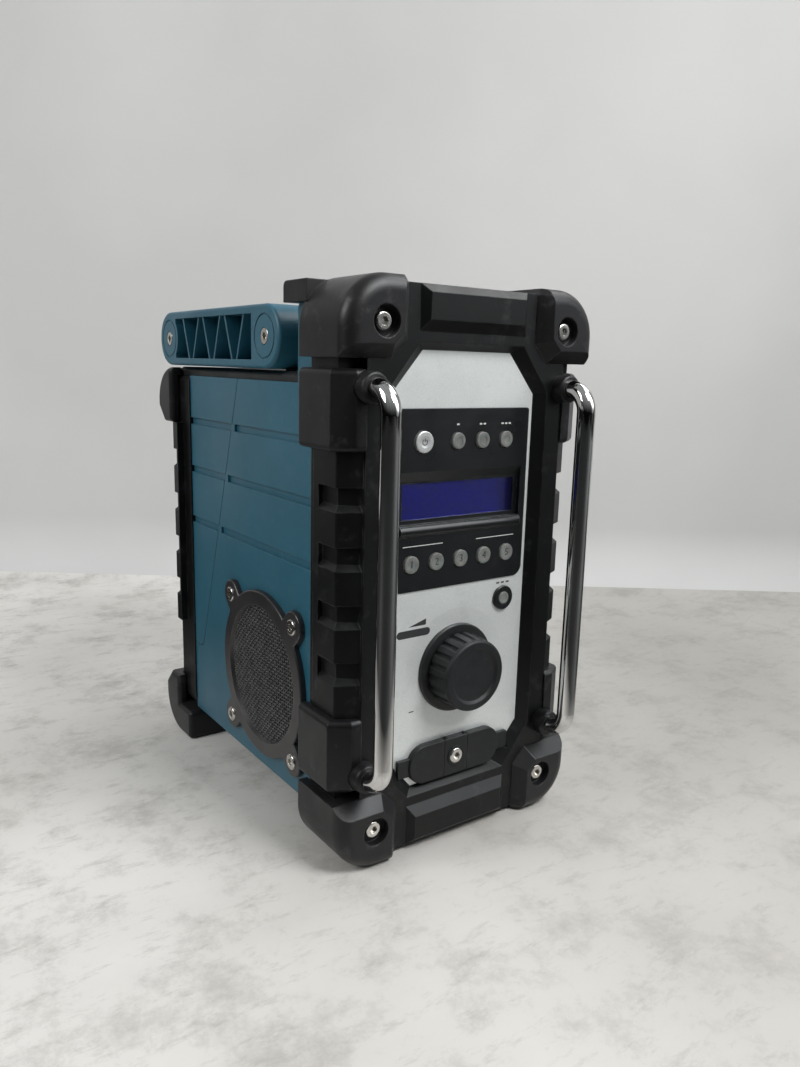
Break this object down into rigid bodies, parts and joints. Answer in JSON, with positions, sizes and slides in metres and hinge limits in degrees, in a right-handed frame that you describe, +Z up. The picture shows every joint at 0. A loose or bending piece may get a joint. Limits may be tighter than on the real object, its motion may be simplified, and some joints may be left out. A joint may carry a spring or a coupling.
{
  "type": "jobsite radio",
  "caption": "Upright jobsite radio with rubber corner bumpers, chrome guard bars, side speakers, a folding handle, push buttons, a volume knob and a rear battery cover.",
  "frame": {"origin": "on the floor under the middle of the overall box", "axes": "+X to the radio's right seen from its front, +Y to its back, +Z up"},
  "size_m": [0.163, 0.259, 0.302],
  "materials": {
    "black_rubberised": "fine satin grain",
    "black_rubber": "soft satin",
    "black_plastic": "matt",
    "chrome_bar": "mirror polish",
    "screw_steel": "bright plated",
    "teal_plastic": "fine satin grain",
    "ring_black": "semi-gloss paint",
    "mesh_metal": "black powder coat",
    "speaker_steel": "matt",
    "silver_plastic": "satin silver paint",
    "gloss_black": "smooth satin gloss",
    "clear_window": "clear gloss",
    "display_blue": "dark blue display",
    "board_green": "solder mask",
    "silver_key": "satin silver",
    "grey_key": "translucent grey silicone"
  },
  "bodies": {
    "cabinet": {"front_frame": "black_rubberised", "bumper_top_right": "black_rubber", "bumper_top_left": "black_rubber", "bumper_bottom_right": "black_rubber", "bumper_bottom_left": "black_rubber", "bar_block_top_right": "black_rubber", "bar_block_top_left": "black_rubber", "bar_block_bottom_right": "black_rubber", "bar_block_bottom_left": "black_rubber", "guard_bar_right": "chrome_bar", "guard_bar_left": "chrome_bar", "bar_collars": "black_rubber", "front_screws": "screw_steel", "front_housing": "teal_plastic", "rear_housing": "teal_plastic", "rear_frame": "black_rubberised", "rear_bumper_top_right": "black_rubber", "rear_bumper_top_left": "black_rubber", "rear_foot_right": "black_rubber", "rear_foot_left": "black_rubber", "top_deck": "black_plastic", "antenna_socket": "screw_steel", "speaker_ring_right": "ring_black", "speaker_ring_left": "ring_black", "speaker_mesh_right": "mesh_metal", "speaker_mesh_left": "mesh_metal", "speaker_screws": "screw_steel", "speaker_drivers": "speaker_steel", "front_panel": "silver_plastic", "display_bezel": "gloss_black", "display_lens": "clear_window", "display_module": "display_blue", "auto_tune_collar": "gloss_black", "circuit_boards": "board_green", "knob_disc": "black_plastic", "socket_cover": "black_rubber", "sockets": "black_plastic", "battery_terminal": "black_plastic", "battery_pack": "black_plastic"},
    "handle": {"handle_arm_right": "teal_plastic", "handle_arm_left": "teal_plastic", "handle_grip": "black_rubber", "handle_bolts": "screw_steel"},
    "volume_spindle": {"knob_spindle": "screw_steel"},
    "volume_knob": {"knob": "black_rubber"},
    "battery_cover": {"battery_door": "teal_plastic", "door_hinge_pin": "screw_steel"},
    "latch": {"door_latch": "black_plastic"},
    "flap_left": {"socket_flap_left": "black_rubber"},
    "flap_right": {"socket_flap_right": "black_rubber"},
    "power_button_body": {"power_button": "silver_key"},
    "function_button_1_body": {"function_button_1": "grey_key"},
    "function_button_2_body": {"function_button_2": "grey_key"},
    "function_button_3_body": {"function_button_3": "grey_key"},
    "preset_button_1_body": {"preset_button_1": "grey_key"},
    "preset_button_2_body": {"preset_button_2": "grey_key"},
    "preset_button_3_body": {"preset_button_3": "grey_key"},
    "preset_button_4_body": {"preset_button_4": "grey_key"},
    "preset_button_5_body": {"preset_button_5": "grey_key"},
    "auto_tune_button_body": {"auto_tune_button": "grey_key"}
  },
  "joints": [
    {"name": "handle_swing", "type": "hinge", "parent": "cabinet", "child": "handle", "pos_m": [0, -0.0264, 0.2733], "axis": [1, 0, 0], "range_deg": [0, 90]},
    {"name": "battery_cover_swing", "type": "hinge", "parent": "cabinet", "child": "battery_cover", "pos_m": [0, 0.1151, 0.0732], "axis": [-1, 0, 0], "range_deg": [0, 100]},
    {"name": "latch_slide", "type": "slide", "parent": "battery_cover", "child": "latch", "axis": [0, 0, 1], "range_m": [0, 0.004]},
    {"name": "volume_press", "type": "slide", "parent": "cabinet", "child": "volume_spindle", "axis": [0, 1, 0], "range_m": [0, 0.0006], "stiffness_N_per_m": 800},
    {"name": "volume_turn", "type": "hinge", "parent": "volume_spindle", "child": "volume_knob", "pos_m": [0, -0.1129, 0.0972], "axis": [0, -1, 0], "continuous": true},
    {"name": "socket_flap_left_bend", "type": "hinge", "parent": "cabinet", "child": "flap_left", "pos_m": [-0.008, -0.10365, 0.046], "axis": [0, 0, 1], "range_deg": [0, 100], "stiffness_Nm_per_rad": 0.02},
    {"name": "socket_flap_right_bend", "type": "hinge", "parent": "cabinet", "child": "flap_right", "pos_m": [0.008, -0.10365, 0.046], "axis": [0, 0, -1], "range_deg": [0, 100], "stiffness_Nm_per_rad": 0.02},
    {"name": "power_button_press", "type": "slide", "parent": "cabinet", "child": "power_button_body", "axis": [0, 1, 0], "range_m": [0, 0.0008], "stiffness_N_per_m": 400},
    {"name": "function_button_1_press", "type": "slide", "parent": "cabinet", "child": "function_button_1_body", "axis": [0, 1, 0], "range_m": [0, 0.0008], "stiffness_N_per_m": 400},
    {"name": "function_button_2_press", "type": "slide", "parent": "cabinet", "child": "function_button_2_body", "axis": [0, 1, 0], "range_m": [0, 0.0008], "stiffness_N_per_m": 400},
    {"name": "function_button_3_press", "type": "slide", "parent": "cabinet", "child": "function_button_3_body", "axis": [0, 1, 0], "range_m": [0, 0.0008], "stiffness_N_per_m": 400},
    {"name": "preset_button_1_press", "type": "slide", "parent": "cabinet", "child": "preset_button_1_body", "axis": [0, 1, 0], "range_m": [0, 0.0008], "stiffness_N_per_m": 400},
    {"name": "preset_button_2_press", "type": "slide", "parent": "cabinet", "child": "preset_button_2_body", "axis": [0, 1, 0], "range_m": [0, 0.0008], "stiffness_N_per_m": 400},
    {"name": "preset_button_3_press", "type": "slide", "parent": "cabinet", "child": "preset_button_3_body", "axis": [0, 1, 0], "range_m": [0, 0.0008], "stiffness_N_per_m": 400},
    {"name": "preset_button_4_press", "type": "slide", "parent": "cabinet", "child": "preset_button_4_body", "axis": [0, 1, 0], "range_m": [0, 0.0008], "stiffness_N_per_m": 400},
    {"name": "preset_button_5_press", "type": "slide", "parent": "cabinet", "child": "preset_button_5_body", "axis": [0, 1, 0], "range_m": [0, 0.0008], "stiffness_N_per_m": 400},
    {"name": "auto_tune_button_press", "type": "slide", "parent": "cabinet", "child": "auto_tune_button_body", "axis": [0, 1, 0], "range_m": [0, 0.0008], "stiffness_N_per_m": 400}
  ]
}
